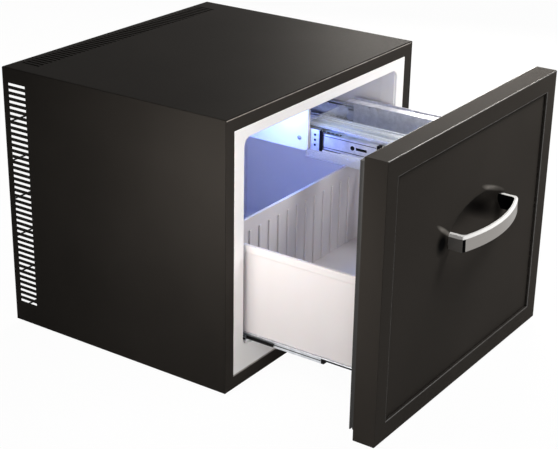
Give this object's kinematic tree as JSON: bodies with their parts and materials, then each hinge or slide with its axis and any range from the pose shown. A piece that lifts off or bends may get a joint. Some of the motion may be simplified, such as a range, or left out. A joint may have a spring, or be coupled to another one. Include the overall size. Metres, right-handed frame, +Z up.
{
  "type": "drawer minibar cabinet",
  "caption": "Insulated hotel minibar whose thick door is the front of a drawer with a bottle bin and a clear side tray, on telescopic slides, with a vented cooling bay behind",
  "frame": {"origin": "on the floor, at the middle of the ground that the cabinet and its open drawer cover", "axes": "+Z up; the drawer opens towards -Y; +X to the right of someone who faces the drawer"},
  "size_m": [0.517, 0.7214, 0.435],
  "materials": {
    "case_black": "satin",
    "trim_black": "satin",
    "liner_white": "satin",
    "bin_white": "satin",
    "clear_plastic": "clear",
    "foam": "porous",
    "zinc_steel": "zinc plated",
    "screw_steel": "plain",
    "handle_metal": "brushed with polished edges",
    "pipe_black": "matt",
    "fin_aluminium": "plain",
    "seal_rubber": "matt"
  },
  "bodies": {
    "cabinet": {"absorber_coil": "pipe_black", "absorber_vessel": "pipe_black", "base_plate": "case_black", "boiler_jacket": "zinc_steel", "boiler_tube": "pipe_black", "cabinet_wrap": "case_black", "condenser_fins": "pipe_black", "condenser_tube": "pipe_black", "control_box": "trim_black", "evaporator_fins": "fin_aluminium", "evaporator_pipe": "pipe_black", "feet": "seal_rubber", "foot_screws": "screw_steel", "front_frame": "trim_black", "hanger_screws": "screw_steel", "inner_liner": "liner_white", "insulation_foam": "foam", "lamp_housing": "liner_white", "lamp_lens": "clear_plastic", "lower_left_fixed_member": "zinc_steel", "lower_right_fixed_member": "zinc_steel", "power_inlet": "trim_black", "rear_bulkhead": "zinc_steel", "rear_guard": "pipe_black", "slide_hanger": "liner_white", "unit_stays": "trim_black", "upper_left_fixed_member": "zinc_steel", "upper_right_fixed_member": "zinc_steel"},
    "drawer": {"upper_left_drawer_member": "zinc_steel", "upper_right_drawer_member": "zinc_steel", "lower_left_drawer_member": "zinc_steel", "lower_right_drawer_member": "zinc_steel", "door_frame": "trim_black", "door_panel": "trim_black", "door_core": "foam", "door_back_panel": "liner_white", "door_gasket": "seal_rubber", "handle_bow": "handle_metal", "handle_screws": "screw_steel", "bin_bracket_left": "zinc_steel", "bin_bracket_right": "zinc_steel", "bracket_screws": "screw_steel", "bottle_bin": "bin_white", "tray_bracket_left": "zinc_steel", "tray_bracket_right": "zinc_steel", "clear_tray": "clear_plastic"},
    "upper_left_middle": {"upper_left_middle_member": "zinc_steel", "upper_left_ball_cages": "zinc_steel", "upper_left_bumper": "trim_black"},
    "upper_right_middle": {"upper_right_middle_member": "zinc_steel", "upper_right_ball_cages": "zinc_steel", "upper_right_bumper": "trim_black"},
    "lower_left_middle": {"lower_left_middle_member": "zinc_steel", "lower_left_ball_cages": "zinc_steel", "lower_left_bumper": "trim_black"},
    "lower_right_middle": {"lower_right_middle_member": "zinc_steel", "lower_right_ball_cages": "zinc_steel", "lower_right_bumper": "trim_black"}
  },
  "joints": [
    {"name": "drawer_slide", "type": "slide", "parent": "cabinet", "child": "drawer", "axis": [0, -1, 0], "range_m": [-0.211, 0.039]},
    {"name": "upper_left_slide", "type": "slide", "parent": "cabinet", "child": "upper_left_middle", "axis": [0, -1, 0], "range_m": [-0.1055, 0.0195]},
    {"name": "upper_right_slide", "type": "slide", "parent": "cabinet", "child": "upper_right_middle", "axis": [0, -1, 0], "range_m": [-0.1055, 0.0195]},
    {"name": "lower_left_slide", "type": "slide", "parent": "cabinet", "child": "lower_left_middle", "axis": [0, -1, 0], "range_m": [-0.1055, 0.0195]},
    {"name": "lower_right_slide", "type": "slide", "parent": "cabinet", "child": "lower_right_middle", "axis": [0, -1, 0], "range_m": [-0.1055, 0.0195]}
  ],
  "couplings": [
    {"joint": "upper_left_slide", "follows": "drawer_slide", "ratio": 0.5},
    {"joint": "upper_right_slide", "follows": "drawer_slide", "ratio": 0.5},
    {"joint": "lower_left_slide", "follows": "drawer_slide", "ratio": 0.5},
    {"joint": "lower_right_slide", "follows": "drawer_slide", "ratio": 0.5}
  ]
}
